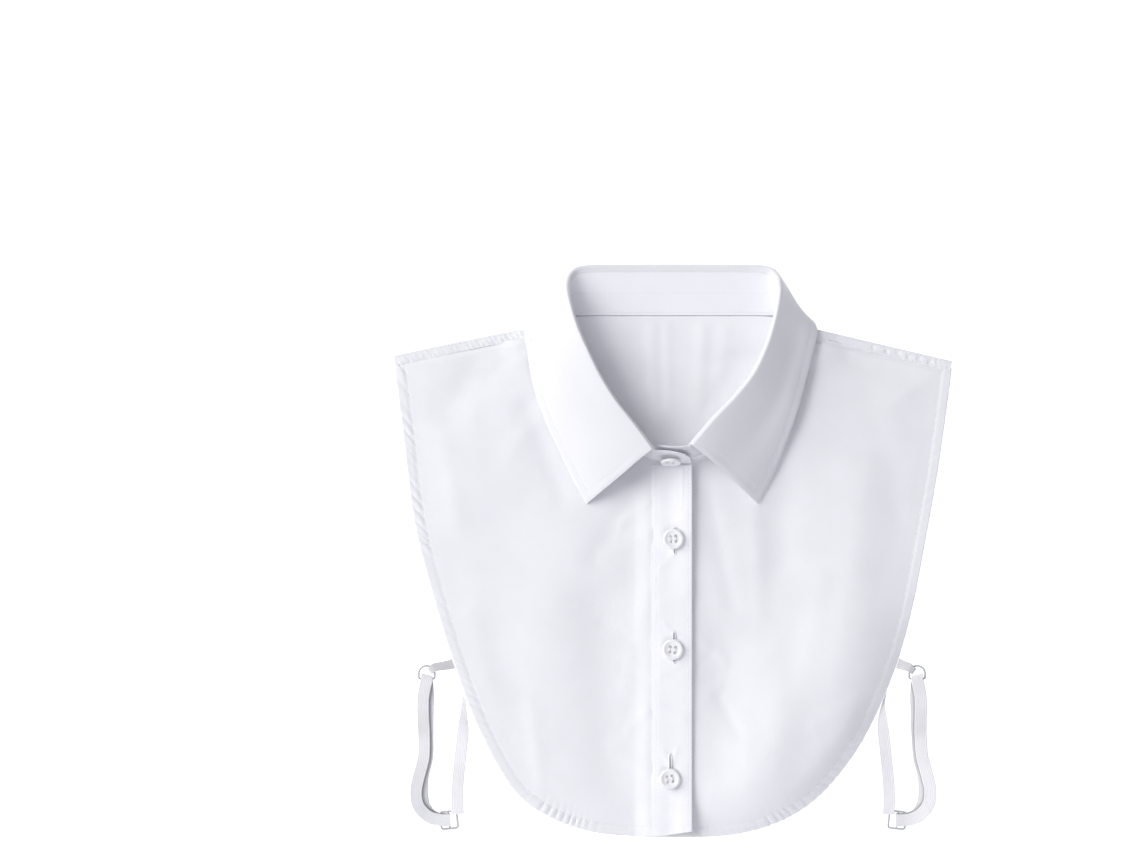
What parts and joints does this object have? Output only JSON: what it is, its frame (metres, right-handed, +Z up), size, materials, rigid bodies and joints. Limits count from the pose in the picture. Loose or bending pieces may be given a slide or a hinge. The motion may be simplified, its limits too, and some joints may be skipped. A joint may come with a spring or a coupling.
{
  "type": "detachable shirt collar",
  "caption": "Detachable shirt collar: a buttoned half shirt front and back with a stand and turn-down leaf and elastic side straps, laid flat.",
  "frame": {"origin": "on the surface that it lies on, under the middle of the whole piece", "axes": "+X to the viewer's right across the fronts, +Y from the bottom hem towards the back of the neck, +Z up out of the surface"},
  "size_m": [0.3614, 0.3706, 0.0304],
  "materials": {
    "cotton": "white cotton poplin, plain weave, matt",
    "collar_cotton": "white cotton poplin over fused interlining, smooth and pressed",
    "elastic": "white ribbed elastic tape",
    "button": "white shirt-button plastic, polished",
    "ring": "milky coated wire"
  },
  "bodies": {
    "root": {"back_panel": "cotton", "back_hem": "cotton", "front_left": "cotton", "front_right": "cotton", "hem_left": "cotton", "hem_right": "cotton", "shoulder_left": "cotton", "shoulder_right": "cotton", "placket": "cotton", "collar_stand": "collar_cotton", "collar_leaf": "collar_cotton", "button_1": "button", "button_2": "button", "button_3": "button", "button_stand": "button", "tab_left": "elastic", "tab_right": "elastic", "strap_loop_left": "elastic", "strap_loop_right": "elastic", "strap_rear_left": "elastic", "strap_rear_right": "elastic", "ring_left": "ring", "ring_right": "ring", "slider_left": "ring", "slider_right": "ring"}
  },
  "joints": []
}
